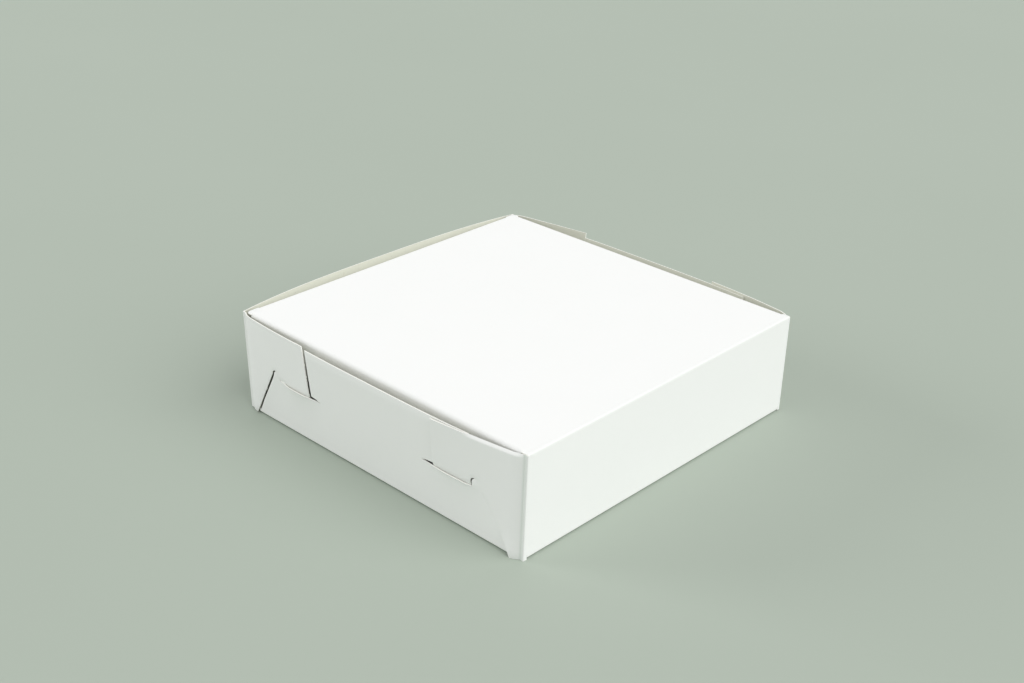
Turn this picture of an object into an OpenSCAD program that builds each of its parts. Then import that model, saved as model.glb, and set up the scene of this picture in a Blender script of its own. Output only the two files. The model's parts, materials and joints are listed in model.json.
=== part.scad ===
// White paperboard bakery box: a tray with locked corners and a hinged lid that tucks in at the front.
// The origin is the middle of the tray's underside, +Z is up, and the lid's hinge is on the +Y side.

/* [Box] */
// Width between the two ends
box_w = 180; // [150:1:240]
// Depth from the tuck side to the hinge side
box_d = 180; // [150:1:240]
// Height of the closed box
box_h = 50; // [48:1:70]

/* [Board] */
// Thickness of the paperboard
board_t = 0.5; // [0.4:0.05:0.6]
// Outer radius of a folded crease
fold_r = 1; // [0.8:0.05:1.2]
// Flat strip of board on each side of a crease
fold_leg = 1; // [0.6:0.1:1.4]

/* [Bowed walls] */
// How far the top of the front wall stands out at its middle
front_bow = 7.1; // [0:0.1:10]
// How far the top of the right end wall stands out at its middle
right_bow = 3.6; // [0:0.1:10]
// How far the top of the left end wall stands out at its middle
left_bow = 7.9; // [0:0.1:10]
// Flatness of a bow: 2 is a parabola, and more keeps the middle straighter
bow_power = 3; // [2:0.1:6]

/* [Tray walls] */
// How far the front wall's edge is below the lid's top
front_wall_drop = 0.5; // [0.3:0.1:4]
// How far the end walls' edges are below the lid's top
end_wall_drop = 1.7; // [1:0.1:4]
// How far the end walls stand out at their foot, which makes the corner flaps splay
end_out = 1.4; // [0.5:0.1:2]

/* [Locking corners] */
// Height of the slits in the end walls
lock_z = 24.8; // [20:0.1:26]
// Distance of a back slit from its corner
back_lock = 29; // [26:0.1:30]
// Distance of a front slit from its corner
front_lock = 26.6; // [26:0.1:30]
// Length of a slit
slit_len = 29.7; // [26:0.1:32]
// Width of a hooked tongue
tongue_w = 21.8; // [18:0.1:24]
// How far a tongue reaches down behind the wall
tongue_drop = 13; // [8:0.5:16]
// Radius of the round notch where a tongue leaves its flap
notch_r = 2.3; // [1:0.1:2.5]
// Height from a slit up to the middle of the round notch
neck_h = 1; // [0.5:0.1:2]
// Width of the foot that a back flap stands on
back_foot = 7.5; // [5:0.1:9]
// Width of the foot that a front flap stands on
front_foot = 6.6; // [5:0.1:9]
// How far a back flap's upper edge falls from the corner to its free end
back_fall = 1.4; // [0:0.1:3]
// The same, on the front flaps
front_fall = 0; // [0:0.1:3]
// How far a back flap's free edge leans in towards its corner, at the top
back_lean = 0.7; // [0:0.1:4]
// The same, on the front flaps
front_lean = 3; // [0:0.1:4]
// How far the edges of an end wall's upper part lean towards the corners, at the top
wall_lean = 1.5; // [0:0.1:4]
// Gap between a back flap's slanted edge and the end wall's own slanted edge beside it
back_slant_gap = 0.2; // [0.1:0.05:1.5]
// The same, on the front flaps
front_slant_gap = 1.2; // [0.1:0.05:1.5]
// Gap between a front flap's free edge and the upper part of the end wall beside it
front_edge_gap = 0.9; // [0.5:0.05:1.5]
// Clearance between the end wall and a flap outside it or a tongue inside it
flap_gap = 0.15; // [0.1:0.01:0.3]
// How far the free ends of the flaps spring away from the end wall
back_right_lift = 0.9; // [-2:0.1:5]
// The same, on the front right flap
front_right_lift = -1; // [-2:0.1:5]
// The same, on the back left flap
back_left_lift = 0.2; // [-2:0.1:5]
// The same, on the front left flap
front_left_lift = 1.2; // [-2:0.1:5]

/* [Lid] */
// How far the lid's front edge is inside the tray's front
lid_front_inset = 1; // [0.8:0.1:3]
// How far the lid's side edges are inside the tray's ends
lid_side_inset = 0.3; // [0:0.1:2]
// Radius of the lid's two front corners
lid_corner_r = 1.5; // [0.5:0.1:2]
// Clear space between the lid's back edge and its hinge crease
swing_gap = 0.05; // [0.03:0.01:0.1]
// Reach of the tuck flap
tuck_h = 30; // [20:1:32]
// How far the tuck flap's crease stops short of the lid's side edges
tuck_end = 6.5; // [6:0.5:12]
// How much narrower the tuck flap gets towards its edge, on each side
tuck_taper = 5; // [2:0.5:10]
// Radius of the tuck flap's two corners
tuck_corner_r = 7; // [3:0.5:10]
// How far the tuck flap leans in from upright, in degrees
tuck_lean = 6; // [5:0.5:12]
// Reach of the lid's side flaps
side_h = 20; // [12:1:20]
// How far the lid's side creases stop short of the lid's corners
side_end = 4; // [4:0.5:20]
// How much shorter a side flap gets towards its edge, at each end
side_taper = 13; // [2:0.5:15]
// How far a side flap leans in from upright, in degrees
side_lean = 4; // [2:0.5:8]

/* [Hidden] */
$fn = 64;
// Overrun of a cut past the surface that it cuts
over = 1;
// Clearance between the ends of creases that meet at a corner
end_gap = 0.1;
// Largest opening angle of the lid, in degrees
lid_open_angle = 195;
// Steps along a bowed wall, along each half of a corner flap, up a bowed wall and round a quarter circle
wall_steps = 32;
flap_steps = 7;
row_steps = 6;
arc_steps = 8;

// Foot of the walls, where they leave the bottom creases
wall_z = fold_r + fold_leg;
// Half lengths of the wall panels between the corner creases
half_w = box_w / 2 - fold_r - fold_leg;
half_d = box_d / 2 - fold_r - fold_leg;
// Outer face of the end walls' foot, inside the corner flaps
end_x = box_w / 2 - board_t - flap_gap + end_out;
// Height over which a tongue passes through its slit, which is also the slit's height
pass_h = 2 * (board_t + flap_gap) - flap_gap * 2 / 3;
pass_top = lock_z + pass_h / 2;
pass_low = lock_z - pass_h / 2;
tongue_low = pass_low - tongue_drop - over;
// Heights of the round notch's middle and top
notch_z = pass_top + neck_h;
notch_top = notch_z + notch_r;
// Reach of a tongue's barb towards the corner
barb = 2 * notch_r;
// Sizes of the back corners and of the front corners, each pair in this order
back = 0;
front = 1;
locks = [back_lock, front_lock];
feet = [back_foot, front_foot];
falls = [back_fall, front_fall];
leans = [back_lean, front_lean];
slant_gaps = [back_slant_gap, front_slant_gap];
// Distance from the corner at which an end wall's upper part starts. At the back it reaches the tongues' roots
// behind the flaps, and at the front it stops beside the flaps.
uppers = [back_lock + notch_r, front_lock + tongue_w + front_edge_gap];
// Run of a slanted edge for each unit of height
slants = [for (c = [back, front]) (locks[c] - barb - feet[c]) / notch_z];
// Height of the flaps at the corner creases, just under the lid
flap_top = box_h - board_t - flap_gap;
// Heights at which an end wall and the flaps and tongues against it share their curve's rows
end_top = box_h - end_wall_drop;
end_rows = [wall_z, tongue_low, pass_low, pass_top, (pass_top + end_top) / 2, end_top];
// Half width and front edge of the lid
lid_half_w = box_w / 2 - lid_side_inset;
lid_front = lid_front_inset - box_d / 2;
// Lid hinge axis, tuck axis and side flap axis
hinge_y = box_d / 2 - fold_r;
tuck_y = lid_front + fold_r;
side_x = lid_half_w - fold_r;
axis_z = box_h - fold_r;
// Radius about the hinge axis at which the lid starts, so that the opened lid clears the back wall
past = lid_open_angle - 180;
swing_s = (fold_r * (1 + sin(past)) + swing_gap) / cos(past);
swing_r = sqrt(swing_s * swing_s + fold_r * fold_r);
// Half lengths of the lid's creases
tuck_half = lid_half_w - tuck_end;
side_half = box_d / 2 - side_end;
// Depth of a cutting outline, more than any bow
cut_depth = box_w / 4;

outside = [0.93, 0.94, 0.92];
inside = [0.86, 0.86, 0.8];
crease = [0.8, 0.83, 0.79];

// Evenly spaced places from lo to hi
function stations(lo, hi, steps) = [for (i = [0 : steps]) lo + (hi - lo) * i / steps];

// A list of places mirrored about zero, in rising order
function mirrored(places) = [for (i = [len(places) - 1 : -1 : 0]) -places[i]];

// Side of the tray that a corner is on, as drawn for an end wall: the hinge side is at -x
function side_of(corner) = corner == back ? -1 : 1;

// Width between a tongue's barb and its flap's slanted edge, at the height of the slit
function bare(corner) = slants[corner] * neck_h;

// Places along an end wall where a corner flap and the wall behind it share their curve's columns. The first two
// runs leave the bare width between them, where the sheet steps through the wall, and the last is over the foot.
function flap_stations(corner) = let (
    root = box_d / 2 - locks[corner] + barb
) concat(
    stations(box_d / 2 - locks[corner] - tongue_w - over, root + bare(corner) / 8, flap_steps),
    stations(root + bare(corner) * 7 / 8, box_d / 2 - feet[corner], flap_steps - 2),
    [(box_d / 2 - feet[corner] + half_d) / 2, half_d - end_gap]
);

// Points of an arc in the plane
function arc(centre, r, from, to, steps) = [
    for (i = [0 : steps])
        let (a = from + (to - from) * i / steps)
        centre + r * [cos(a), sin(a)]
];

// Share of a bow at a place x along a wall: none at its ends
function bow_share(x, half) = 1 - pow(abs(x) / half, bow_power);

// Share of a bow at a height: none at the wall's foot, all of it at the lid
function rise_share(z) = max(0, z - wall_z) / (box_h - wall_z);

// Outward shift of each bowed wall's outer face
front_face = function (x, z) front_bow * bow_share(x, half_w) * rise_share(z);
right_face = function (x, z) right_bow * bow_share(x, half_d) * rise_share(z);
left_face = function (x, z) left_bow * bow_share(x, half_d) * rise_share(z);

// A curved sheet of board over the grid of xs and zs, with its outer face at y = face(x, z)
module sheet(xs, zs, face) {
    nx = len(xs);
    nz = len(zs);
    function at(inner, i, k) = (inner * nz + k) * nx + i;
    function quad(a, b, c, d) = [[a, b, c], [a, c, d]];
    points = [
        for (inner = [0, 1])
            for (k = [0 : nz - 1])
                for (i = [0 : nx - 1])
                    [xs[i], face(xs[i], zs[k]) - inner * board_t, zs[k]]
    ];
    quads = [
        for (i = [0 : nx - 2])
            for (k = [0 : nz - 2])
                each [
                    quad(at(0, i, k), at(0, i + 1, k), at(0, i + 1, k + 1), at(0, i, k + 1)),
                    quad(at(1, i, k), at(1, i, k + 1), at(1, i + 1, k + 1), at(1, i + 1, k))
                ],
        for (i = [0 : nx - 2])
            each [
                quad(at(1, i, 0), at(1, i + 1, 0), at(0, i + 1, 0), at(0, i, 0)),
                quad(at(0, i, nz - 1), at(0, i + 1, nz - 1), at(1, i + 1, nz - 1), at(1, i, nz - 1))
            ],
        for (k = [0 : nz - 2])
            each [
                quad(at(0, 0, k), at(0, 0, k + 1), at(1, 0, k + 1), at(1, 0, k)),
                quad(at(1, nx - 1, k), at(1, nx - 1, k + 1), at(0, nx - 1, k + 1), at(0, nx - 1, k))
            ]
    ];
    polyhedron(points = points, faces = [for (q = quads) each q]);
}

// Extrudes an outline drawn in x and z through a wall, along y
module through_wall() {
    rotate([90, 0, 0])
        linear_extrude(height = cut_depth, center = true)
            children();
}

// Places what is drawn for a wall, with x along it and y outwards, on the right or left end of the tray
module on_right_end() {
    translate([end_x, 0, 0])
        rotate([0, 0, -90])
            children();
}

module on_left_end() {
    mirror([1, 0, 0])
        on_right_end()
            children();
}

// Cross-section of a crease: a round bead on the fold's axis with a strip of flat board on each side
module fold_section(leg_back, leg_down) {
    circle(r = fold_r);
    if (leg_back > 0)
        translate([-leg_back, fold_r - board_t])
            square([leg_back, board_t]);
    if (leg_down > 0)
        translate([fold_r - board_t, -leg_down])
            square([board_t, leg_down]);
}

// A crease along X, with one strip towards -Y and one towards -Z
module fold_along_x(length, leg_back, leg_down) {
    rotate([90, 0, 90])
        linear_extrude(height = length, center = true)
            fold_section(leg_back, leg_down);
}

// A crease along Y, with one strip towards -X and one towards -Z
module fold_along_y(length, leg_back, leg_down) {
    rotate([90, 0, 0])
        linear_extrude(height = length, center = true)
            fold_section(leg_back, leg_down);
}

module bottom_panel() {
    color(inside)
        translate([fold_leg + fold_r - end_x, -half_d, 0])
            cube([2 * (end_x - fold_leg - fold_r), 2 * half_d, board_t]);
}

module back_wall() {
    color(outside)
        translate([-half_w, box_d / 2 - board_t, wall_z])
            cube([2 * half_w, board_t, axis_z - fold_leg - wall_z]);
}

module front_wall() {
    color(outside)
        translate([0, -box_d / 2, 0])
            rotate([0, 0, 180])
                sheet(
                    stations(-half_w, half_w, wall_steps),
                    stations(wall_z, box_h - front_wall_drop, row_steps),
                    front_face
                );
}

// Outline of what an end wall lacks at a corner, as distances from the corner and heights. Its lower part stops at a
// slanted edge beside the flap's and fills the round notch.
function corner_cut(corner) = let (
    low = feet[corner] + slant_gaps[corner]
) [
    [-over, 0],
    [low, 0],
    [low + slants[corner] * notch_top, notch_top],
    [locks[corner], notch_top],
    [locks[corner], pass_top],
    [uppers[corner], pass_top],
    [uppers[corner] - wall_lean, box_h],
    [-over, box_h]
];

// Outline of a slit, from its corner's side
function slit(corner) = let (
    lock = locks[corner]
) [
    [lock, pass_low],
    [lock + slit_len, pass_low],
    [lock + slit_len, pass_top],
    [lock, pass_top]
];

// An outline in distances from a corner, put on that corner's side
module at_corner(corner, outline) {
    polygon([for (p = outline) [side_of(corner) * (box_d / 2 - p[0]), p[1]]]);
}

// End wall with its two slits
module end_wall(face) {
    hinge_side = mirrored(flap_stations(back));
    tuck_side = flap_stations(front);
    middle = stations(hinge_side[len(hinge_side) - 1], tuck_side[0], wall_steps / 2);
    difference() {
        sheet(
            concat(hinge_side, [for (i = [1 : len(middle) - 2]) middle[i]], tuck_side),
            end_rows,
            face
        );
        through_wall()
            for (corner = [back, front]) {
                at_corner(corner, slit(corner));
                at_corner(corner, corner_cut(corner));
            }
    }
}

module right_end_wall() {
    color(outside)
        on_right_end()
            end_wall(right_face);
}

module left_end_wall() {
    color(outside)
        on_left_end()
            end_wall(left_face);
}

// Outline of a corner flap, as distances from the corner and heights: a leg that stands on the table, a slanted
// edge up to a round notch, a tongue with a barb towards the corner, and the free edge
function flap_outline(corner) = let (
    lock = locks[corner],
    low = pass_low - tongue_drop,
    round_r = tongue_drop / 3
) concat(
    [[0, -over], [feet[corner], -over], [feet[corner], 0]],
    arc([lock - notch_r, notch_z], notch_r, 180, 0, arc_steps * 2),
    [[lock, pass_low - flap_gap], [lock - barb, pass_low - barb]],
    arc([lock - notch_r + round_r, low + round_r], round_r, 180, 270, arc_steps),
    arc([lock + tongue_w - round_r, low + round_r], round_r, 270, 360, arc_steps),
    [
        [lock + tongue_w, pass_top],
        [lock + tongue_w - leans[corner], flap_top - falls[corner]],
        [0, flap_top]
    ]
);

// Corner flap on an end wall. From its crease its sheet splays out over the foot, lies outside the wall, and the
// tongue steps through the slit and lies inside.
module corner_flap(corner, face, lift) {
    places = concat(flap_stations(corner), [half_d]);
    lock = locks[corner];
    foot = feet[corner];
    strip = box_d / 2 - half_d;
    step_at = lock - barb - bare(corner) / 2;
    outer = function (x, z)
        let (
            d = box_d / 2 - abs(x),
            splay = end_out * min(0, (d - foot) / (foot - strip)),
            out = d / (lock + tongue_w),
            up = max(0, z - pass_top) / (flap_top - pass_top),
            inside_wall = d > step_at && z < lock_z
        )
        face(x, z) + (inside_wall ? -flap_gap - board_t : flap_gap + board_t + splay + lift * out * out * up);
    intersection() {
        sheet(corner == back ? mirrored(places) : places, concat([0], end_rows, [flap_top]), outer);
        through_wall()
            at_corner(corner, flap_outline(corner));
    }
}

module back_right_flap() {
    color(outside)
        on_right_end()
            corner_flap(back, right_face, back_right_lift);
}

module front_right_flap() {
    color(outside)
        on_right_end()
            corner_flap(front, right_face, front_right_lift);
}

module back_left_flap() {
    color(outside)
        on_left_end()
            corner_flap(back, left_face, back_left_lift);
}

module front_left_flap() {
    color(outside)
        on_left_end()
            corner_flap(front, left_face, front_left_lift);
}

// Bottom crease under the back wall, between the end creases
module long_bottom_fold() {
    translate([0, box_d / 2 - fold_r, fold_r])
        mirror([0, 0, 1])
            fold_along_x(2 * (half_w - end_gap), fold_leg, fold_leg);
}

module bottom_fold_back() {
    color(crease)
        long_bottom_fold();
}

module bottom_fold_front() {
    color(crease)
        mirror([0, 1, 0])
            long_bottom_fold();
}

// Bottom crease under an end wall, as long as the wall's foot
module end_bottom_fold() {
    ends = [for (c = [back, front]) box_d / 2 - feet[c] - slant_gaps[c]];
    translate([end_x - fold_r, (ends[back] - ends[front]) / 2, fold_r])
        mirror([0, 0, 1])
            fold_along_y(ends[back] + ends[front], fold_leg, fold_leg);
}

module bottom_fold_right() {
    color(crease)
        end_bottom_fold();
}

module bottom_fold_left() {
    color(crease)
        mirror([1, 0, 0])
            end_bottom_fold();
}

// Upright crease between a wall and its corner flap
module corner_fold() {
    translate([box_w / 2 - fold_r, box_d / 2 - fold_r, 0])
        linear_extrude(height = flap_top)
            fold_section(fold_leg, fold_leg);
}

module corner_fold_back_right() {
    color(crease)
        corner_fold();
}

module corner_fold_front_right() {
    color(crease)
        mirror([0, 1, 0])
            corner_fold();
}

module corner_fold_back_left() {
    color(crease)
        mirror([1, 0, 0])
            corner_fold();
}

module corner_fold_front_left() {
    color(crease)
        mirror([1, 0, 0])
            mirror([0, 1, 0])
                corner_fold();
}

// Hinge crease: its strip on the lid's side ends on a round about the hinge axis, so that the lid clears it
module lid_hinge_fold() {
    length = 2 * (box_w / 2 - 2 * fold_r - end_gap);
    color(crease)
        translate([0, hinge_y, axis_z]) {
            fold_along_x(length, 0, fold_leg);
            intersection() {
                translate([-length / 2, -swing_r, fold_r - board_t])
                    cube([length, swing_r, board_t]);
                rotate([0, 90, 0])
                    cylinder(r = swing_r - swing_gap, h = length, center = true);
            }
        }
}

// Outline of the lid: full size at its corners, and stopping at the creases between them
module lid_outline() {
    strip = fold_r + fold_leg;
    difference() {
        union() {
            translate([-lid_half_w, lid_front + lid_corner_r])
                square([2 * lid_half_w, hinge_y - lid_front - lid_corner_r]);
            translate([lid_corner_r - lid_half_w, lid_front])
                square([2 * (lid_half_w - lid_corner_r), 2 * lid_corner_r]);
            for (side = [-1, 1])
                translate([side * (lid_half_w - lid_corner_r), lid_front + lid_corner_r])
                    circle(r = lid_corner_r);
        }
        translate([-tuck_half, lid_front - over])
            square([2 * tuck_half, strip + over]);
        for (side = [-1, 1])
            translate([side * lid_half_w - strip, -side_half])
                square([2 * strip, 2 * side_half]);
    }
}

module lid_panel() {
    color(outside)
        difference() {
            translate([0, 0, box_h - board_t])
                linear_extrude(height = board_t)
                    lid_outline();
            translate([0, hinge_y, axis_z])
                rotate([0, 90, 0])
                    cylinder(r = swing_r, h = box_w, center = true);
        }
}

module tuck_fold() {
    color(crease)
        translate([0, tuck_y, axis_z])
            mirror([0, 1, 0])
                fold_along_x(2 * tuck_half, fold_leg, 0);
}

// Side crease of the lid, on the right
module lid_side_fold() {
    translate([side_x, 0, axis_z])
        fold_along_y(2 * side_half, fold_leg, 0);
}

module lid_fold_right() {
    color(crease)
        lid_side_fold();
}

module lid_fold_left() {
    color(crease)
        mirror([1, 0, 0])
            lid_side_fold();
}

// Outline of a hanging flap: as long as its crease at the top, narrower below, with round lower corners
module hanging_outline(half, drop, taper, r) {
    low = [half - taper - r, r - drop];
    polygon(concat(
        [[-half, 0]],
        arc([-low[0], low[1]], r, 180, 270, arc_steps),
        arc(low, r, 270, 360, arc_steps),
        [[half, 0]]
    ));
}

// A flat flap that hangs from a crease along X, with its outer face towards -Y
module hanging_flap(half, drop, taper, r) {
    difference() {
        translate([0, board_t - fold_r, 0])
            rotate([90, 0, 0])
                linear_extrude(height = board_t)
                    hanging_outline(half, drop, taper, r);
        rotate([0, 90, 0])
            cylinder(r = fold_r + swing_gap, h = 2 * half + over, center = true);
    }
}

module tuck_flap() {
    color(outside)
        translate([0, tuck_y, axis_z])
            rotate([tuck_lean, 0, 0])
                hanging_flap(tuck_half - end_gap, tuck_h, tuck_taper, tuck_corner_r);
}

// Side flap of the lid, on the right
module lid_side_flap() {
    translate([side_x, 0, axis_z])
        rotate([0, side_lean, 0])
            rotate([0, 0, 90])
                hanging_flap(side_half - end_gap, side_h, side_taper, side_taper / 2);
}

module lid_flap_right() {
    color(outside)
        lid_side_flap();
}

module lid_flap_left() {
    color(outside)
        mirror([1, 0, 0])
            lid_side_flap();
}

bottom_panel();
back_wall();
front_wall();
right_end_wall();
left_end_wall();
back_right_flap();
front_right_flap();
back_left_flap();
front_left_flap();
bottom_fold_back();
bottom_fold_front();
bottom_fold_right();
bottom_fold_left();
corner_fold_back_right();
corner_fold_front_right();
corner_fold_back_left();
corner_fold_front_left();
lid_hinge_fold();
lid_panel();
tuck_fold();
lid_fold_right();
lid_fold_left();
tuck_flap();
lid_flap_right();
lid_flap_left();
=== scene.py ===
"""White paperboard bakery box: a tray whose corners hook together, and a hinged lid that tucks in.

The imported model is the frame. Every panel and crease of it gets a piece of board here, bent the
same way, coated white outside, bare and cream inside, and fibrous along its cut edges.
"""

import json
from math import acos, asin, cos, degrees, exp, pi, radians, sin, sqrt, tan

import bpy
from mathutils import Matrix, Vector


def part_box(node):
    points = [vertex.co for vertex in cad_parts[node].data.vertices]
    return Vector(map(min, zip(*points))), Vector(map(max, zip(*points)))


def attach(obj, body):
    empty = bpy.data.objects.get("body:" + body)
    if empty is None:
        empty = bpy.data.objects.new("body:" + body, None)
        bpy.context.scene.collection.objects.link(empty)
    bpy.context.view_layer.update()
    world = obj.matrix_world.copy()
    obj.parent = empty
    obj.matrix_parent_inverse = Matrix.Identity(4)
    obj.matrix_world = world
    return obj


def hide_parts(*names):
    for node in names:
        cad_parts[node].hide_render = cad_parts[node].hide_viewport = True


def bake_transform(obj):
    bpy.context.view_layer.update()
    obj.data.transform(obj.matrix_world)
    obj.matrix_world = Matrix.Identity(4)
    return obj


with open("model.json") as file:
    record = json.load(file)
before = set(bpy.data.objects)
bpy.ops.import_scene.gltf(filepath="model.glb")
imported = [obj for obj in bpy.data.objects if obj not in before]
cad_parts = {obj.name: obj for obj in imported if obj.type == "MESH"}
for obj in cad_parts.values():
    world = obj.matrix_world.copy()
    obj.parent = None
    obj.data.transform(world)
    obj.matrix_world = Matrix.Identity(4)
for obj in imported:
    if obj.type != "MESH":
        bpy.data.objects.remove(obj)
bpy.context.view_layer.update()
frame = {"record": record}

MM = 0.001
TINY = 0.01 * MM

# Sizes of the tray and the lid, from the frame
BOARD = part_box("bottom_panel")[1].z
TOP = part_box("lid_panel")[1].z
HALF_W, HALF_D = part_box("corner_fold_back_right")[1].xy
FLAP_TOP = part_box("corner_fold_back_right")[1].z
FOLD_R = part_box("bottom_fold_back")[1].z / 2
PANEL_W, WALL_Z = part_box("back_wall")[1].x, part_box("back_wall")[0].z
BACK_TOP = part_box("back_wall")[1].z
LEG = WALL_Z - FOLD_R
STRIP = FOLD_R + LEG
PANEL_D = HALF_D - STRIP
END_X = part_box("bottom_fold_right")[1].x
BOTTOM_W = END_X - STRIP
END_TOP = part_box("right_end_wall")[1].z
FRONT_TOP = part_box("front_wall")[1].z
AXIS_Z = TOP - FOLD_R
HINGE_Y = HALF_D - FOLD_R
TUCK_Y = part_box("tuck_fold")[0].y + FOLD_R
SIDE_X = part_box("lid_fold_right")[1].x - FOLD_R
LID_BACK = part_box("lid_panel")[1].y
LID_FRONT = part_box("lid_panel")[0].y
LID_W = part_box("lid_panel")[1].x
TUCK_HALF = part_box("tuck_fold")[1].x
SIDE_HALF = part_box("lid_fold_right")[1].y

# Bows of the walls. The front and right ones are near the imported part's. The left one is less,
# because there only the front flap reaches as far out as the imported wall.
FRONT_BOW, RIGHT_BOW, LEFT_BOW = 6.8 * MM, 3.6 * MM, 5.5 * MM
BOW_POWER = 3
END_OUT = 1.4 * MM

# Locking corners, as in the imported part. Pairs are for the back corners, then the front ones.
BACK, FRONT = 0, 1
LOCK_Z = 24.8 * MM
LOCK = (29.0 * MM, 26.6 * MM)
FOOT = (6.9 * MM, 6.6 * MM)
LEAN = (0.7 * MM, 3.0 * MM)
SLANT_GAP = (0.04 * MM, 0.9 * MM)
WALL_LEAN = 1.5 * MM
SLIT_LEN = 29.7 * MM
TONGUE_W, TONGUE_DROP = 21.8 * MM, 13 * MM
TONGUE_ROUND = TONGUE_DROP / 3
NOTCH_R, NECK_H = 2.3 * MM, 1.0 * MM
FLAP_GAP, FRONT_EDGE_GAP = 0.15 * MM, 0.9 * MM
BARB = 2 * NOTCH_R
FLUSH = BOARD + FLAP_GAP
PASS_H = 2 * FLUSH - FLAP_GAP * 2 / 3
PASS_TOP, PASS_LOW = LOCK_Z + PASS_H / 2, LOCK_Z - PASS_H / 2
NOTCH_Z = PASS_TOP + NECK_H
UPPER = (LOCK[BACK] + NOTCH_R, LOCK[FRONT] + TONGUE_W + FRONT_EDGE_GAP)
SLANT = [(LOCK[c] - BARB - FOOT[c]) / NOTCH_Z for c in (BACK, FRONT)]
UPPER_LIP, LIP_FALL = LOCK_Z + 0.45 * MM, 0.3 * MM

# Hook tips of the end walls: round, with a start in degrees, and a little under the notch's top.
# The back one lies against the notch's near side, the front one against its far side.
TIP_R, TIP_START, TIP_TOP, TIP_GAP = 1.85 * MM, 165, 0.25 * MM, 0.1 * MM
TIP_D = (LOCK[BACK] - BARB + SLANT_GAP[BACK] + TIP_R, LOCK[FRONT] - TIP_GAP - TIP_R)

# Lid flaps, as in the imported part
TUCK_H, TUCK_TAPER, TUCK_CORNER, TUCK_LEAN = 30 * MM, 5 * MM, 7 * MM, radians(6)
SIDE_H, SIDE_TAPER, SIDE_CORNER, SIDE_LEAN = 20 * MM, 13 * MM, 6.5 * MM, radians(4)
LID_CORNER = 1.5 * MM
END_GAP = 0.1 * MM

# Lips of the slits, as the tongues push them: how far out the lower lip stands at the notch and
# along the slit, how it gets there, how far in the upper lip is pushed, how the lower one's rim
# curls, how far the lips fade, and how near a slit a flap starts to pass through it
LIP_FROM, LIP_OUT = (FLUSH, 0.2 * MM), (1.05 * MM, 1.5 * MM)
LIP_START = (3 * MM, 9 * MM)
LIP_IN = 0.25 * MM
LIP_CURL, CURL_H = 0.3 * MM, 1.2 * MM
LIP_REACH, EDGE_REACH = 5 * MM, 7 * MM
HOOK_REACH = 1.6 * MM

# Creases: bead of the living hinges, ridge inside a fold, sharper corner folds, the creasing
# rule's groove beside them with its share of depth and of painted shade at back and front corners,
# how much painted shade the hinge's bend gets, and how far its bead closes the gap at each end
BEAD_R = 0.9 * MM
RIDGE = 0.35 * MM
CORNER_R = 0.6 * MM
GROOVE, GROOVE_START, GROOVE_END = 0.13 * MM, 0.5 * MM, 2.7 * MM
GROOVE_AND_SHADE_SHARE = (1.0, 0.35)
# How far the painted shade beside a corner crease reaches onto the flap, and how it fades
PRESSED_SHADE_END, PRESSED_SHADE_FADE = 1.9 * MM, 1.0 * MM
FLANK_START, FLANK_FADE = 0.5 * MM, 0.4 * MM
ROUND_START, ROUND_FADE = 0.3 * MM, 0.5 * MM
HINGE_SHADE = 0.35
CLOSE_GAP = 0.08 * MM

# Worn and handled board: nicks in the cut edges, each with its places along and its depths as
# shares, the near flap's rolled top, the let down foot, the bottom's belly, the lid's crown and
# drooping corners, slow waves, and soft cut edges
NICK, NICK_LEN = 0.3 * MM, 0.9 * MM
TORN = ((-0.5, 0), (-0.25, 1), (0.25, 2 / 3), (0.5, 0))
SLANT_NICKS, EDGE_NICKS = (0.6,), (0.38, 0.62)
TOP_ROLL, ROLL_H, ROLL_POWER = 0.95 * MM, 1.25 * MM, 1.2
ROLL_START, ROLL_PAST, ROLL_FADE = 2 * MM, 1 * MM, 4 * MM
FOOT_RISE, FOOT_LOW = 9 * MM, 0.4 * MM
BELLY = 0.35 * MM
LID_CROWN, CROWN_EDGE = 0.25 * MM, 2 * MM
DROOP = 0.35 * MM
WARP, WARP_LENGTHS, WARP_STARTS = 0.12 * MM, (19 * MM, 23 * MM), (0.7, 0.4)
SOFT_EDGE = 0.11 * MM

# How far the tops of the front corners lean forwards, right and left, and how far back that goes
LEAN_RIGHT, LEAN_LEFT, LEAN_REACH = 2.0 * MM, 0.7 * MM, 45 * MM
# How far the feet of the back corners are drawn in, right and left, and how far forwards that goes
IN_RIGHT, IN_LEFT, IN_REACH = 1.1 * MM, 0.2 * MM, 10 * MM

# Fineness of the meshes
ARC_STEPS = 10
MESH_STEP, GROOVE_STEP = 4 * MM, 0.4 * MM
CURL_ROWS = (2, 1, 0.7, 0.4, 0.15)
LID_SCORES = (0.5 * MM, 1.0 * MM)
SMOOTH_BELOW = radians(30)
# Cosine of the turn, 60 degrees, above which an edge is a cut one
CUT_TURN = 0.5


# Shapes of the cut board

def arc(centre, radius, start, end, steps=ARC_STEPS):
    """Points on an arc, from start to end in degrees."""
    angles = [radians(start + (end - start) * i / steps) for i in range(steps + 1)]
    return [(centre[0] + radius * cos(a), centre[1] + radius * sin(a)) for a in angles]


def spread(low, high, step):
    """Even places from low to high, about a step apart."""
    count = max(1, round((high - low) / step))
    return [low + (high - low) * i / count for i in range(count + 1)]


def inner(low, high, step):
    """Even places between low and high, without these two."""
    return spread(low, high, step)[1:-1]


def smooth(t):
    """A soft step from 0 to 1, as t goes from 0 to 1."""
    t = min(max(t, 0.0), 1.0)
    return t * t * (3 - 2 * t)


def nicked(start, end, shares):
    """A straight cut from start to end with a small torn nick at each share of its length."""
    (x0, z0), (x1, z1) = start, end
    length = sqrt((x1 - x0) ** 2 + (z1 - z0) ** 2)
    along = ((x1 - x0) / length, (z1 - z0) / length)
    points = [start]
    for share in shares:
        for back, out in TORN:
            at, depth = share * length + back * NICK_LEN, out * NICK
            points.append((x0 + along[0] * at + along[1] * depth,
                           z0 + along[1] * at - along[0] * depth))
    return points + [end]


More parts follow.
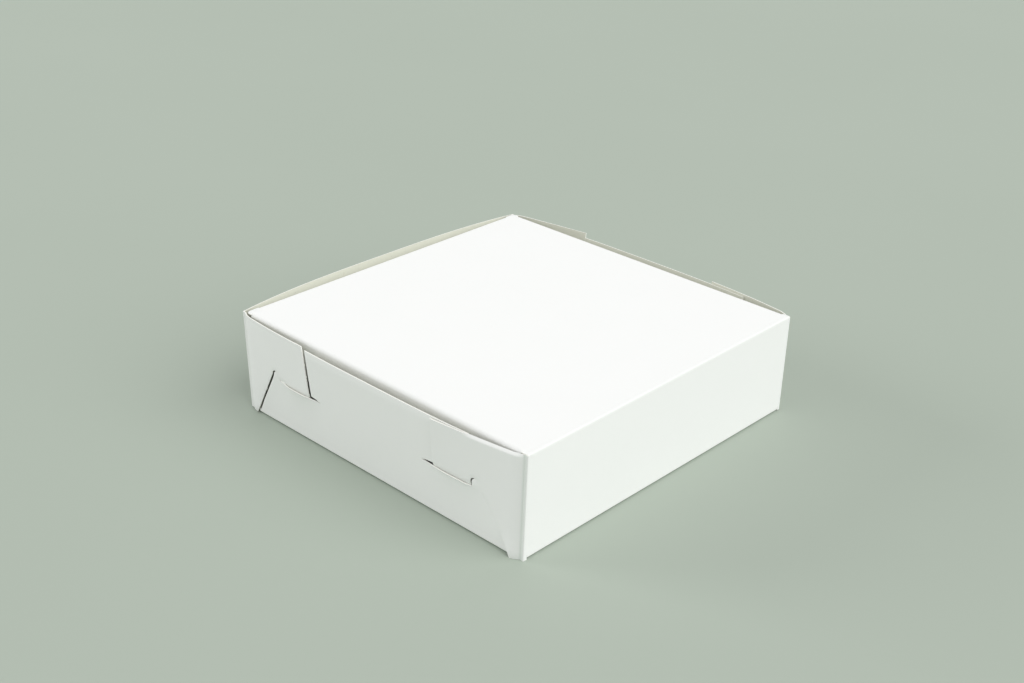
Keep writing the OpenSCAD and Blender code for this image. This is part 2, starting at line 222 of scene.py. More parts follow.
def flap_outline(corner, fall):
    """Outline of a corner flap with its hooked tongue, as distances from the corner and heights.
    Its top falls towards its free end."""
    lock, low = LOCK[corner], PASS_LOW - TONGUE_DROP
    low_round = low + TONGUE_ROUND
    free_d = lock + TONGUE_W - LEAN[corner]
    return [
        (STRIP, 0),
        *nicked((FOOT[corner], 0), (lock - BARB, NOTCH_Z), SLANT_NICKS),
        *arc((lock - NOTCH_R, NOTCH_Z), NOTCH_R, 180, 0)[1:],
        (lock, PASS_LOW - FLAP_GAP),
        (lock - BARB, PASS_LOW - BARB),
        *arc((lock - NOTCH_R + TONGUE_ROUND, low_round), TONGUE_ROUND, 180, 270),
        *arc((lock + TONGUE_W - TONGUE_ROUND, low_round), TONGUE_ROUND, 270, 360),
        *nicked((lock + TONGUE_W, PASS_TOP), (free_d, FLAP_TOP - fall), EDGE_NICKS),
        (STRIP, FLAP_TOP - fall * STRIP / free_d),
    ]


def wall_side(corner):
    """Side of an end wall from its foot to its top, as distances from the corner and heights: a
    slanted edge, a round hook tip behind the flap's notch, the slit, whose end closes to a point,
    and the upper part's edge."""
    lock, low = LOCK[corner], FOOT[corner] + SLANT_GAP[corner]
    tip = (TIP_D[corner], NOTCH_Z + NOTCH_R - TIP_TOP - TIP_R)
    slit_open = lock + TONGUE_W + FRONT_EDGE_GAP
    upper_lip = [(slit_open + (SLIT_LEN - TONGUE_W) / 2, UPPER_LIP - LIP_FALL),
                 (slit_open, UPPER_LIP)]
    if UPPER[corner] < slit_open - TINY:
        upper_lip.append((UPPER[corner], UPPER_LIP))
    return [
        (low + SLANT[corner] * WALL_Z, WALL_Z),
        (low + SLANT[corner] * (tip[1] - TIP_R), tip[1] - TIP_R),
        *arc(tip, TIP_R, TIP_START, 0),
        (tip[0] + TIP_R, PASS_LOW),
        (lock + SLIT_LEN, PASS_LOW),
        *upper_lip,
        (UPPER[corner] - WALL_LEAN, END_TOP),
    ]


def end_outline():
    """Outline of an end wall, with the hinge side at -x."""
    back, front = wall_side(BACK), wall_side(FRONT)
    return [(d - HALF_D, z) for d, z in back] + [(HALF_D - d, z) for d, z in front[::-1]]


def rectangle(x0, z0, x1, z1):
    """Outline of a plain panel."""
    return [(x0, z0), (x1, z0), (x1, z1), (x0, z1)]


def hanging_outline(half, drop, taper, r):
    """Outline of a flap that hangs from a crease: narrower below, with round lower corners."""
    low_x, low_z = half - taper - r, r - drop
    top_x = half - taper * LEG / (drop - r)
    return [(-top_x, -LEG), *arc((-low_x, low_z), r, 180, 270),
            *arc((low_x, low_z), r, 270, 360), (top_x, -LEG)]


def lid_outline():
    """Outline of the lid: full size at its corners, and stopping at the creases between them."""
    half = [
        (TUCK_HALF, LID_FRONT + STRIP),
        (TUCK_HALF, LID_FRONT),
        *arc((LID_W - LID_CORNER, LID_FRONT + LID_CORNER), LID_CORNER, 270, 360),
        (LID_W, -SIDE_HALF),
        (LID_W - STRIP, -SIDE_HALF),
        (LID_W - STRIP, SIDE_HALF),
        (LID_W, SIDE_HALF),
        (LID_W, LID_BACK),
    ]
    return half + [(-x, y) for x, y in half[::-1]]


# Bows and bends of the walls

def bow_share(x, half):
    """Share of a bow at a place along a wall: none at its ends."""
    return 1 - (abs(x) / half) ** BOW_POWER


def rise_share(z):
    """Share of a bow at a height: none at the wall's foot."""
    return max(0.0, z - WALL_Z) / (TOP - WALL_Z)


def warp(x, z):
    """Slow waves of a sheet that has been handled."""
    (length_x, length_z), (start_x, start_z) = WARP_LENGTHS, WARP_STARTS
    return WARP * sin(x / length_x + start_x) * sin(z / length_z + start_z)


def between_sides(right, left, x):
    """A measure at a place across the box, from its values at the right and left corners."""
    return (right + left + (right - left) * x / HALF_W) / 2


def bottom_face(x, y):
    """The bottom has a low belly."""
    return BELLY * cos(pi / 2 * x / BOTTOM_W) ** 2 * cos(pi / 2 * y / PANEL_D) ** 2


def back_face(x, z):
    """The back wall is held straight by the lid, with slow dents."""
    inside = sin(pi * (z - WALL_Z) / (BACK_TOP - WALL_Z))
    return -abs(warp(x, z)) * bow_share(x, PANEL_W) * inside


def front_face(x, z):
    """The front wall bows out between its corners, whose tops lean forwards."""
    bow = FRONT_BOW - between_sides(LEAN_RIGHT, LEAN_LEFT, 0)
    return bow * bow_share(x, PANEL_W) * rise_share(z)


def end_face(bow):
    """Gives the bowed face of an end wall."""
    return lambda x, z: bow * bow_share(x, PANEL_D) * rise_share(z)


def lid_face(x, y):
    """The lid is crowned a little."""
    across = max(0.0, 1 - (x / (LID_W - CROWN_EDGE)) ** 2)
    return LID_CROWN * across * max(0.0, 1 - (y / (LID_BACK - TINY)) ** 2)


def lips(x, z):
    """How the hooked tongues push an end wall. Below a slit and along its slanted edge the wall
    stands out as far as the flap beside it, and the slit's lower lip further, with a curled rim,
    so that its cut edge shows. The upper lip is pushed in."""
    corner = BACK if x < 0 else FRONT
    lock, d = LOCK[corner], HALF_D - abs(x)
    along = smooth((lock + SLIT_LEN - d) / (SLIT_LEN / 2))
    if z > LOCK_Z and d > lock:
        return -LIP_IN * along * exp((LOCK_Z - z) / LIP_REACH)
    start = smooth((d - lock) / LIP_START[corner])
    lip = LIP_FROM[corner] + (LIP_OUT[corner] - LIP_FROM[corner]) * start
    below = exp(min(0.0, z - LOCK_Z) / LIP_REACH)
    curl = 2 * LIP_CURL * start * smooth((z - PASS_LOW + CURL_H) / (2 * CURL_H))
    off_edge = max(0.0, d - FOOT[corner] - SLANT[corner] * z)
    beside = exp(-off_edge / EDGE_REACH) * smooth((z - WALL_Z) / FOOT_RISE)
    return max((lip * below + curl) * along, FLUSH * beside)


def groove(corner, d):
    """Depth of the creasing rule's groove beside a corner crease, at a distance from the corner.
    """
    share = (d - GROOVE_START) / (GROOVE_END - GROOVE_START)
    return GROOVE_AND_SHADE_SHARE[corner] * GROOVE * sin(pi * share) ** 2 if 0 < share < 1 else 0.0


def flap_face(corner, wall_face, lift, flare, fall, roll):
    """Place of a corner flap's outer face: it splays out over its foot, then lies outside the
    wall, and behind it where the tongue is hooked in. A worn top edge rolls inwards where no wall
    stands behind it."""
    lock, foot = LOCK[corner], FOOT[corner]

    def face(x, z):
        d = HALF_D - abs(x)
        out = d / (lock + TONGUE_W)
        up = max(0.0, z - PASS_TOP) / (FLAP_TOP - PASS_TOP)
        over_foot = (d - STRIP) / (foot - STRIP)
        splay = END_OUT * (sin(pi / 2 * min(1.0, over_foot)) - 1)
        kick = flare * smooth(1 - z / FOOT_RISE) * smooth(over_foot)
        rolled = roll * max(0.0, 1 - (FLAP_TOP - fall * out - z) / ROLL_H) ** ROLL_POWER
        rolled *= smooth((d - STRIP) / ROLL_START)
        rolled *= smooth((UPPER[corner] + ROLL_PAST - d) / ROLL_FADE)
        outside = FLUSH + splay + kick - rolled + lift * out * out * up - groove(corner, d)
        inside = lips(x, min(z, PASS_LOW - CURL_H)) - FLUSH
        hooked = 0.0
        if d > lock - BARB - TINY:
            hooked = smooth((PASS_TOP + HOOK_REACH - z) / (PASS_H + 2 * HOOK_REACH))
        if d < lock - TINY and z > PASS_LOW - TINY:
            hooked = 0.0
        return wall_face(x, z) + outside + (inside - outside) * hooked

    return face


# Working on a piece

def cut_face(name, outline):
    """A flat face cut to an outline of x and z, facing +y."""
    bpy.ops.object.select_all(action="DESELECT")
    bpy.ops.mesh.primitive_circle_add(vertices=len(outline), fill_type="NGON")
    piece = bpy.context.object
    piece.name = piece.data.name = name
    for vertex, (x, z) in zip(piece.data.vertices, outline):
        vertex.co = (x, 0, z)
    piece.data.update()
    if piece.data.polygons[0].normal.y < 0:
        piece.data.flip_normals()
    return piece


def score(piece, axis, places):
    """Cuts the face across at each place on an axis, so that it can bend there."""
    normal = [0, 0, 0]
    normal[axis] = 1
    bpy.ops.object.mode_set(mode="EDIT")
    for place in places:
        bpy.ops.mesh.select_all(action="SELECT")
        bpy.ops.mesh.bisect(plane_co=[place * n for n in normal], plane_no=normal)
    bpy.ops.object.mode_set(mode="OBJECT")


def bend(piece, face):
    """Moves the sheet out or in, to y = face(x, z)."""
    for vertex in piece.data.vertices:
        vertex.co.y += face(vertex.co.x, vertex.co.z)
    piece.data.update()


def thicken(piece):
    """Gives the sheet its thickness, on its inner side, and the three finishes of the board."""
    for finish in (coated, bare, cut_edge):
        piece.data.materials.append(finish)
    board = piece.modifiers.new("board", "SOLIDIFY")
    board.thickness, board.offset, board.use_even_offset = BOARD, -1, True
    board.material_offset, board.material_offset_rim = 1, 2
    bpy.ops.object.modifier_apply(modifier=board.name)


def soften(piece, joined):
    """Rounds the cut edges a little, apart from those where joined(point) says that a crease
    goes on."""
    mesh = piece.data
    across = {}
    for polygon in mesh.polygons:
        for key in polygon.edge_keys:
            across.setdefault(key, []).append(polygon.normal)
    bpy.ops.object.mode_set(mode="EDIT")
    bpy.ops.mesh.select_mode(type="EDGE")
    bpy.ops.mesh.select_all(action="DESELECT")
    bpy.ops.object.mode_set(mode="OBJECT")
    for edge in mesh.edges:
        sides = across[edge.key]
        middle = (mesh.vertices[edge.vertices[0]].co + mesh.vertices[edge.vertices[1]].co) / 2
        is_cut = len(sides) == 2 and sides[0].dot(sides[1]) < CUT_TURN
        edge.select = is_cut and not joined(middle)
    bpy.ops.object.mode_set(mode="EDIT")
    bpy.ops.mesh.bevel(offset=SOFT_EDGE, segments=2, affect="EDGES", clamp_overlap=True)
    bpy.ops.object.mode_set(mode="OBJECT")


def mark_pressed_shade(piece, share):
    """Marks how much painted shade each point gets, with the dullness of the creasing rule's
    pressing.
    """
    layer = piece.data.attributes.new("pressed_shade", "FLOAT", "POINT")
    for vertex, value in zip(piece.data.vertices, layer.data):
        value.value = share(vertex.co)


def spring(piece):
    """Leans what is near the front corners forwards and draws the back corners' feet in, as the
    springy tray does."""
    for vertex in piece.data.vertices:
        x, y, z = vertex.co
        near_front = smooth((LEAN_REACH - HALF_D - y) / LEAN_REACH)
        near_back = smooth((IN_REACH - HALF_D + y) / IN_REACH)
        leans = between_sides(LEAN_RIGHT, LEAN_LEFT, x) * z / TOP
        drawn_in = between_sides(IN_RIGHT, IN_LEFT, x) * (1 - z / TOP)
        vertex.co.y -= leans * near_front + drawn_in * near_back


def droop(piece):
    """Lets the lid's corners droop, beyond the ends of its side creases."""
    for vertex in piece.data.vertices:
        x, y, z = vertex.co
        if abs(y) > SIDE_HALF - TINY and z > AXIS_Z:
            vertex.co.z -= DROOP * smooth((abs(x) - LID_W + STRIP) / STRIP)


def let_down(piece):
    """Lets the foot of a corner down to the table."""
    for vertex in piece.data.vertices:
        vertex.co.z -= FOOT_LOW * smooth(1 - vertex.co.z / FOOT_RISE)


def place(piece, matrix, springy=False):
    """Puts the finished piece in the box."""
    piece.data.transform(matrix)
    if springy:
        spring(piece)
    if matrix.determinant() < 0:
        piece.data.flip_normals()
    bpy.ops.object.shade_smooth_by_angle(angle=SMOOTH_BELOW)
    piece.data.update()


def axes(x, y, z, origin=(0, 0, 0)):
    """A placing that sends a piece's own axes to the given directions."""
    matrix = Matrix((x, y, z)).transposed().to_4x4()
    matrix.translation = origin
    return matrix


def board_panel(name, outline, xs, zs, face, joined, matrix, pressed_shade=None, springy=False):
    """A panel of board: cut flat, scored, bent, thickened and put in its place."""
    piece = cut_face(name, outline)
    score(piece, 0, xs)
    score(piece, 2, zs)
    bend(piece, face)
    thicken(piece)
    soften(piece, joined)
    if pressed_shade:
        mark_pressed_shade(piece, pressed_shade)
    place(piece, matrix, springy)
    return piece


def ridge_section(corner=None):
    """Section of a folded crease, round outside with a low ridge inside. A corner crease is
    folded more sharply, and has the creasing rule's groove down one side."""
    ridge = []
    for i in range(ARC_STEPS + 1):
        a = pi / 2 * i / ARC_STEPS
        r = FOLD_R - BOARD - RIDGE * sin(2 * a) ** 2
        ridge.append((r * cos(a), r * sin(a)))
    r = FOLD_R if corner is None else CORNER_R
    middle = FOLD_R - r
    flank = []
    for v in spread(-LEG, middle, LEG / 6)[::-1]:
        depth = 0 if corner is None else groove(corner, FOLD_R - v)
        flank.append((FOLD_R - depth, v))
    return [(-LEG, FOLD_R), *arc((middle, middle), r, 90, 0)[:-1], *flank,
            (FOLD_R - BOARD, -LEG), *ridge, (-LEG, FOLD_R - BOARD)]


def bead_section(turn, leg_a, leg_b):
    """Section of a living hinge: board round a bead on the hinge axis, bent by turn degrees, with
    a leg on each side."""
    b = 90 - turn
    out = Vector((cos(radians(b)), sin(radians(b))))
    along = Vector((out.y, -out.x))
    inner_r = FOLD_R - BOARD
    open_by = degrees(acos(inner_r / BEAD_R))
    return [
        (-leg_a, FOLD_R),
        *arc((0, 0), FOLD_R, 90, b, 2 * ARC_STEPS),
        tuple(FOLD_R * out + leg_b * along),
        tuple(inner_r * out + leg_b * along),
        *arc((0, 0), BEAD_R, b - open_by, 90 + open_by - 360, 2 * ARC_STEPS),
        (-leg_a, inner_r),
    ]


def open_end_section(leg, low):
    """Section of the hinge crease's open ends: the board's bend, down to a height."""
    inner_r = FOLD_R - BOARD
    outer_end, inner_end = degrees(asin(low / FOLD_R)), degrees(asin(low / inner_r))
    return [(-leg, FOLD_R), *arc((0, 0), FOLD_R, 90, outer_end),
            *arc((0, 0), inner_r, inner_end, 90), (-leg, inner_r)]


def roll_section(turn):
    """Section of a living hinge that rolls softly between its two legs, bent by turn degrees."""
    r = FOLD_R + LEG / tan(radians(turn / 2))
    middle = (-LEG, FOLD_R - r)
    return (arc(middle, r, 90, 90 - turn, 2 * ARC_STEPS)
            + arc(middle, r - BOARD, 90 - turn, 90, 2 * ARC_STEPS))


def crease(name, section, low, high, matrix, pressed_shade=None, springy=False):
    """A crease: its section drawn out from low to high along its own y. It is coated where it
    faces out, and cut at its two ends."""
    piece = cut_face(name, section)
    piece.data.transform(Matrix.Translation((0, low, 0)))
    piece.data.flip_normals()
    bpy.ops.object.mode_set(mode="EDIT")
    bpy.ops.mesh.select_all(action="SELECT")
    bpy.ops.mesh.extrude_region_move(TRANSFORM_OT_translate={"value": (0, high - low, 0)})
    bpy.ops.mesh.select_all(action="SELECT")
    bpy.ops.mesh.normals_make_consistent(inside=False)
    bpy.ops.object.mode_set(mode="OBJECT")
    for finish in (creased, bare, cut_edge):
        piece.data.materials.append(finish)
    end_on, outwards = 0.5, 0.3
    for polygon in piece.data.polygons:
        x, y, z = polygon.normal
        polygon.material_index = 2 if abs(y) > end_on else 0 if x + z > outwards else 1
    if pressed_shade:
        mark_pressed_shade(piece, pressed_shade)
    place(piece, matrix, springy)
    return piece


# Finishes

class Link:
    """A node's output. Sums and products of links and numbers add Math nodes."""

    def __init__(self, finish, socket):
        self.finish, self.socket = finish, socket

    def sum(self, operation, a, b):
        return self.finish.node("ShaderNodeMath", {"operation": operation}, {0: a, 1: b})

    def __add__(self, other):
        return self.sum("ADD", self, other)

    def __sub__(self, other):
        return self.sum("SUBTRACT", self, other)

    def __rsub__(self, other):
        return self.sum("SUBTRACT", other, self)

    def __mul__(self, other):
        return self.sum("MULTIPLY", self, other)

    __radd__, __rmul__ = __add__, __mul__


class Finish:
    """The nodes of one material."""

    def __init__(self, name):
        self.material = bpy.data.materials.new(name)
        self.material.use_nodes = True
        self.nodes, self.links = self.material.node_tree.nodes, self.material.node_tree.links
        self.nodes.clear()

    def node(self, kind, settings, inputs, output=0):
        """Adds a node with its settings and the values or links of its sockets."""
        made = self.nodes.new(kind)
        for key, value in settings.items():
            setattr(made, key, value)
        for key, value in inputs.items():
            if isinstance(value, Link):
                self.links.new(value.socket, made.inputs[key])
            else:
                made.inputs[key].default_value = value
        return Link(self, made.outputs[output]) if made.outputs else None

    def place(self, stretch=(1, 1, 1)):
        """Place on the object, stretched for a grain that runs one way."""
        at = self.node("ShaderNodeTexCoord", {}, {}, "Object")
        return self.node("ShaderNodeMapping", {}, {"Vector": at, "Scale": stretch})

    def noise(self, at, scale, detail=2.0, roughness=0.5):
        """Soft spots of a scale per metre."""
        return self.node("ShaderNodeTexNoise", {}, {
            "Vector": at, "Scale": scale, "Detail": detail, "Roughness": roughness})

    def ramp(self, value, low, high, at_low, at_high):
        """Turns a value from low to high into one from at_low to at_high."""
        return self.node("ShaderNodeMapRange", {}, {
            0: value, 1: low, 2: high, 3: at_low, 4: at_high})

    def mix(self, share, a, b):
        """A colour between two others."""
        return self.node("ShaderNodeMix", {"data_type": "RGBA"}, {0: share, 6: a, 7: b}, 2)

    def surface(self, colour, roughness, height, bump_depth, **fixed):
        """Ends the material in a Principled shader."""
        bump = self.node("ShaderNodeBump", {}, {
            "Strength": 1.0, "Distance": bump_depth, "Height": height})
        shader = self.node("ShaderNodeBsdfPrincipled", {}, {
            "Base Color": colour, "Roughness": roughness, "Normal": bump})
        for name, value in fixed.items():
            shader.socket.node.inputs[name.replace("_", " ")].default_value = value
        self.node("ShaderNodeOutputMaterial", {}, {"Surface": shader})
        return self.material


COATED, COATED_DIM = (0.93, 0.935, 0.925, 1), (0.905, 0.915, 0.9, 1)
# Painted shade, darker and a little green, for the creasing rule's lines beside the corner creases
# and on the hinge's bend
PRESSED_SHADE_COLOUR = (0.78, 0.82, 0.785, 1)
# The bare board's cream, darkened beyond its own colour as painted shade for the dim inside of the
# box
BARE_WITH_SHADE, BARE_DIM_WITH_SHADE, FLECK = (0.70, 0.71, 0.61, 1), (0.65, 0.66, 0.56, 1), (0.5, 0.49, 0.4, 1)
CUT, CUT_DIM = (0.95, 0.95, 0.915, 1), (0.89, 0.885, 0.83, 1)
TABLE, TABLE_DIM = (0.425, 0.48, 0.415, 1), (0.405, 0.46, 0.395, 1)

# Spots, grains, fibres, cracks and flecks per metre, and how far their grain stands up
CLOUD_SCALE, GRAIN_SCALE, FIBRE_SCALE, CRACK_SCALE, TABLE_SCALE = 38.0, 420.0, 1500.0, 700.0, 3.0
COATED_BUMP, BARE_BUMP, CUT_BUMP, TABLE_BUMP = 0.04 * MM, 0.08 * MM, 0.1 * MM, 0.02 * MM
CRACK_WIDTH = 0.06
FLECK_FROM, FLECK_TO, FLECK_SHARE = 0.71, 0.76, 0.5

# Roughness where a finish is smoothest, and what its grain adds
COATED_ROUGH, COATED_DULLER = 0.44, 0.12
BARE_ROUGH, BARE_DULLER = 0.78, 0.15
CUT_ROUGH, CUT_DULLER = 0.85, 0.1
TABLE_ROUGH, TABLE_DULLER = 0.6, 0.1


def coated_finish(name, worn):
    """Clay-coated white board: almost even, with faint clouds, a fine grain and a soft sheen.
    Along the creasing rule's lines it is duller, and darker with painted shade that stands for the
    shade in their grooves and tones down the light on the hinge's bend; worn adds fine cracks
    along a fold."""
    made = Finish(name)
    at = made.place()
    clouds = made.noise(at, CLOUD_SCALE)
    grain = made.noise(at, GRAIN_SCALE, 3.0)
    fibres = made.noise(made.place((1, 1, 0.45)), FIBRE_SCALE, 2.0)
    pressed_shade = made.node("ShaderNodeAttribute", {"attribute_name": "pressed_shade"}, {}, "Fac")
    off_crack = made.node("ShaderNodeTexVoronoi", {"feature": "DISTANCE_TO_EDGE"}, {
        "Vector": at, "Scale": CRACK_SCALE})
    crack = made.ramp(off_crack, 0.0, CRACK_WIDTH, worn, 0.0)
    colour = made.mix(clouds * 0.6 + grain * 0.4, COATED, COATED_DIM)
    # Painted shade beside the corner creases and along the hinge's bend
    colour = made.mix(pressed_shade * 0.8, colour, PRESSED_SHADE_COLOUR)
    colour = made.mix(crack * clouds, colour, BARE_DIM_WITH_SHADE)
    roughness = COATED_ROUGH + grain * COATED_DULLER + pressed_shade * COATED_DULLER
    height = grain * 0.7 + fibres * 0.3 - crack * 0.5
    return made.surface(colour, roughness, height, COATED_BUMP,
                        Specular_IOR_Level=0.42, Sheen_Weight=0.04)


def bare_finish():
    """Uncoated board inside the box: cream, matt and fibrous, with a few darker flecks. Its cream
    is darker than the board's own colour, as painted shade for the dim inside of the box.
    """
    made = Finish("bare_board")
    at = made.place()
    clouds = made.noise(at, CLOUD_SCALE * 1.4, 3.0)
    fibres = made.noise(made.place((1, 0.35, 1)), FIBRE_SCALE * 0.7, 4.0, 0.65)
    flecks = made.noise(at, GRAIN_SCALE * 2.2, 1.0)
    colour = made.mix(clouds * 0.5 + fibres * 0.5, BARE_WITH_SHADE, BARE_DIM_WITH_SHADE)
    colour = made.mix(made.ramp(flecks, FLECK_FROM, FLECK_TO, 0.0, FLECK_SHARE), colour, FLECK)
    roughness = BARE_ROUGH + fibres * BARE_DULLER
    height = fibres * 0.8 + clouds * 0.2
    return made.surface(colour, roughness, height, BARE_BUMP, Specular_IOR_Level=0.25)


def cut_finish():
    """Die-cut edge of the board: fibrous layers that hold a little shade."""
    made = Finish("cut_edge")
    layers = made.noise(made.place((1, 1, 3)), FIBRE_SCALE * 1.6, 3.0, 0.7)
    tufts = made.noise(made.place(), GRAIN_SCALE * 1.5, 2.0)
    colour = made.mix(layers * 0.6 + tufts * 0.4, CUT, CUT_DIM)
    roughness = CUT_ROUGH + tufts * CUT_DULLER
    return made.surface(colour, roughness, layers, CUT_BUMP, Specular_IOR_Level=0.2)


def table_finish():
    """Plain pale table top, almost matt."""
    made = Finish("pale_floor")
    clouds = made.noise(made.place(), TABLE_SCALE, 3.0)
    colour = made.mix(clouds, TABLE, TABLE_DIM)
    roughness = TABLE_ROUGH + clouds * TABLE_DULLER
    return made.surface(colour, roughness, clouds, TABLE_BUMP, Specular_IOR_Level=0.3)


coated = coated_finish("coated_board", 0.0)
creased = coated_finish("creased_board", 0.12)
bare = bare_finish()
cut_edge = cut_finish()


# Panels

X, Y, Z = Vector((1, 0, 0)), Vector((0, 1, 0)), Vector((0, 0, 1))
right_end, left_end = axes(-Y, X, Z, (END_X, 0, 0)), axes(-Y, -X, Z, (-END_X, 0, 0))
front_side, back_side = axes(-X, -Y, Z, (0, -HALF_D, 0)), axes(X, Y, Z, (0, HALF_D, 0))
right_face, left_face = end_face(RIGHT_BOW), end_face(LEFT_BOW)


def joined_all_round(point):
    """The bottom and the back wall go on into a crease on every side."""
    return True


def on_foot(point):
    """A wall's foot goes on into the bottom crease."""
    return point.z < WALL_Z + TINY


def on_foot_or_side(point):
    """The front wall goes on into the corner creases too."""
    return on_foot(point) or abs(point.x) > PANEL_W - TINY


def on_corner(point):
    """A corner flap goes on into its corner crease."""
    return abs(point.x) > PANEL_D - TINY


def under_crease(point):
    """A hanging flap goes on into the lid's crease above it."""
    return point.z > -LEG - TINY


def lid_joined(point):
    """Only the rims of the lid's free corners and its front edge are soft."""
    free = abs(point.x) > LID_W - LID_CORNER or point.z < LID_FRONT + TINY
    return not free or abs(abs(point.z) - SIDE_HALF) < TINY


def flap_pressed_shade(corner):
    """The painted shade beside a corner crease goes on into the flap."""
    return lambda point: GROOVE_AND_SHADE_SHARE[corner] * (
        1 - smooth((HALF_D - abs(point.x) - PRESSED_SHADE_END) / PRESSED_SHADE_FADE))


def corner_pressed_shade(corner):
    """The flap's side of a corner crease gets painted shade beside its groove, and its round edge
    doesn't.
    """
    return lambda point: (GROOVE_AND_SHADE_SHARE[corner]
                          * smooth((point.x - FLANK_START) / FLANK_FADE)
                          * smooth((FOLD_R - ROUND_START - point.z) / ROUND_FADE))


def hinge_painted_shade(point):
    """The hinge crease gets painted shade along the middle of its bend, which tones down the light
    there.
    """
    return HINGE_SHADE * max(0.0, (point.z - AXIS_Z) * (point.y - HINGE_Y) * 2 / FOLD_R ** 2)


pieces = {}

pieces["bottom_panel"] = board_panel(
    "bottom_board", rectangle(-BOTTOM_W, -PANEL_D, BOTTOM_W, PANEL_D),
    inner(-BOTTOM_W, BOTTOM_W, 2 * MESH_STEP), inner(-PANEL_D, PANEL_D, 2 * MESH_STEP),
    bottom_face, joined_all_round, axes(X, -Z, Y), springy=True)

pieces["back_wall"] = board_panel(
    "back_wall_board", rectangle(-PANEL_W, WALL_Z, PANEL_W, BACK_TOP),
    inner(-PANEL_W, PANEL_W, 2 * MESH_STEP), inner(WALL_Z, BACK_TOP, 2 * MESH_STEP),
    back_face, joined_all_round, back_side, springy=True)

pieces["front_wall"] = board_panel(
    "front_wall_board", rectangle(-PANEL_W, WALL_Z, PANEL_W, FRONT_TOP),
    inner(-PANEL_W, PANEL_W, MESH_STEP), inner(WALL_Z, FRONT_TOP, 2 * MESH_STEP),
    front_face, on_foot_or_side, front_side, springy=True)

lip_rows = [PASS_LOW - share * CURL_H for share in CURL_ROWS]
end_rows = [*inner(WALL_Z, lip_rows[0], MESH_STEP), *lip_rows,
            *spread(PASS_TOP, END_TOP, MESH_STEP)[:-1]]
for node, face, side in (("right_end_wall", right_face, right_end),
                         ("left_end_wall", left_face, left_end)):
    pieces[node] = board_panel(
        node + "_board", end_outline(), inner(-PANEL_D, PANEL_D, MESH_STEP / 2), end_rows,
        lambda x, z, face=face: face(x, z) + lips(x, z), on_foot, side)

# Each flap with the lift of its free end, the flare of its foot, the fall of its top, and its roll
roll_low = FLAP_TOP - 2 * ROLL_H
flap_rows = [*inner(0, PASS_LOW - HOOK_REACH, MESH_STEP),
             *spread(PASS_LOW - HOOK_REACH, PASS_TOP + HOOK_REACH, PASS_H / 4),
             *spread(PASS_TOP + HOOK_REACH, roll_low, MESH_STEP)[1:],
             *inner(roll_low, FLAP_TOP, ROLL_H / 5)]
for node, corner, wall_face, lift, flare, fall, roll, side in (
    ("back_right_flap", BACK, right_face, 0.8 * MM, 0.7 * MM, 1.4 * MM, TOP_ROLL, right_end),
    ("front_right_flap", FRONT, right_face, -1.0 * MM, 0.0, 0.0, 0.0, right_end),
    ("back_left_flap", BACK, left_face, 0.1 * MM, 0.3 * MM, 0.0, 0.0, left_end),
    ("front_left_flap", FRONT, left_face, 3.0 * MM, 0.3 * MM, 0.0, 0.0, left_end),
):
    sign = -1 if corner == BACK else 1
    columns = [*spread(STRIP, GROOVE_END, GROOVE_STEP)[1:],
               *inner(GROOVE_END, LOCK[corner] + TONGUE_W, MESH_STEP / 2)]
    pieces[node] = board_panel(
        node + "_board", [(sign * (HALF_D - d), z) for d, z in flap_outline(corner, fall)],
        [sign * (HALF_D - d) for d in columns], flap_rows,
        flap_face(corner, wall_face, lift, flare, fall, roll), on_corner, side,
        flap_pressed_shade(corner), springy=True)

lid_scores = [sign * (LID_W - at) for sign in (-1, 1) for at in LID_SCORES]
pieces["lid_panel"] = board_panel(
    "lid_board", lid_outline(), inner(-LID_W, LID_W, 2 * MESH_STEP) + lid_scores,
    inner(LID_FRONT, LID_BACK, 2 * MESH_STEP), lid_face, lid_joined,
    axes(-X, Z, Y, (0, 0, TOP)))


def hanging_panel(name, half, drop, taper, r, matrix):
    """A flap that hangs from a crease of the lid."""
    return board_panel(
        name, hanging_outline(half - END_GAP, drop, taper, r), inner(-half, half, 2 * MESH_STEP),
        inner(-drop, -LEG, MESH_STEP), lambda x, z: FOLD_R, under_crease, matrix)


tuck_side = (Matrix.Translation((0, TUCK_Y, AXIS_Z)) @ Matrix.Rotation(TUCK_LEAN, 4, "X")
             @ axes(-X, -Y, Z))
pieces["tuck_flap"] = hanging_panel(
    "tuck_board", TUCK_HALF, TUCK_H, TUCK_TAPER, TUCK_CORNER, tuck_side)

side_flap = (Matrix.Translation((SIDE_X, 0, AXIS_Z)) @ Matrix.Rotation(SIDE_LEAN, 4, "Y")
             @ axes(-Y, X, Z))
mirror_x = Matrix.Scale(-1, 4, X)
for node, side in (("lid_flap_right", side_flap), ("lid_flap_left", mirror_x @ side_flap)):
    pieces[node] = hanging_panel(
        node + "_board", SIDE_HALF, SIDE_H, SIDE_TAPER, SIDE_CORNER, side)


# Creases

def reach(node, axis):
    """Where a crease starts and ends along its own axis."""
    low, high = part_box(node)
    return low[axis], high[axis]


foot_section = ridge_section()
for name, sign in (("back", 1), ("front", -1)):
    node = "bottom_fold_" + name
    pieces[node] = crease(
        node.replace("fold", "crease"), foot_section, *reach(node, 0),
        axes(sign * Y, X, -Z, (0, sign * (HALF_D - FOLD_R), FOLD_R)), springy=True)
for name, sign in (("right", 1), ("left", -1)):
    node = "bottom_fold_" + name
    pieces[node] = crease(
        node.replace("fold", "crease"), foot_section, *reach(node, 1),
        axes(sign * X, Y, -Z, (sign * (END_X - FOLD_R), 0, FOLD_R)))

